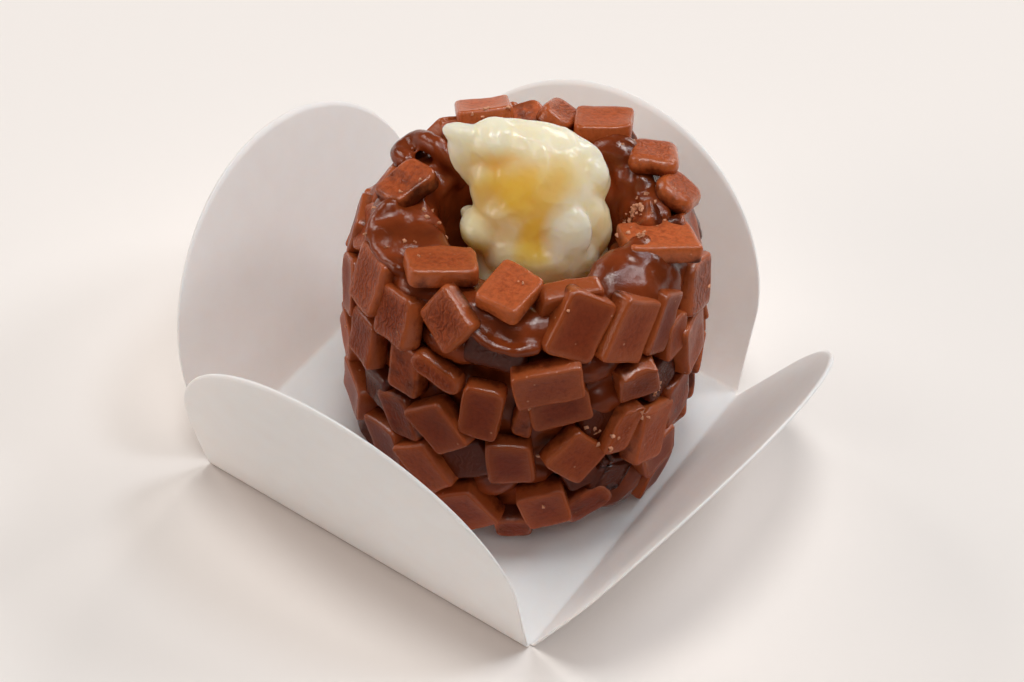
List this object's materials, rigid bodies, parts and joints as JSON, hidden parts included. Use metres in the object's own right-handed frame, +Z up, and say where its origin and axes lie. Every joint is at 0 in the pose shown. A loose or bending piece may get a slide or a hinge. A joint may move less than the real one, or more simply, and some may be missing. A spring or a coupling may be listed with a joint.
{
  "type": "brigadeiro",
  "caption": "Barrel-shaped chocolate fudge sweet coated in milk-chocolate blocks, with a heaped cream filling in its open top, in a folded paper case with round petals.",
  "frame": {"origin": "middle of the underside of the paper case's square floor", "axes": "+Z up; X and Y along the sides of the case's floor; the most open petal leans towards +X"},
  "size_m": [0.0551, 0.0481, 0.0374],
  "materials": {
    "white_card": "matt white card, smooth, with a thin cut edge",
    "chocolate": "soft chocolate fudge with a sticky satin gloss, under milk-chocolate blocks with a finely grained dull face",
    "milk_cream": "translucent pale yellow condensed-milk cream, wet and glossy"
  },
  "bodies": {
    "root": {"paper_case": "white_card", "brigadeiro": "chocolate", "filling": "milk_cream"}
  },
  "joints": []
}
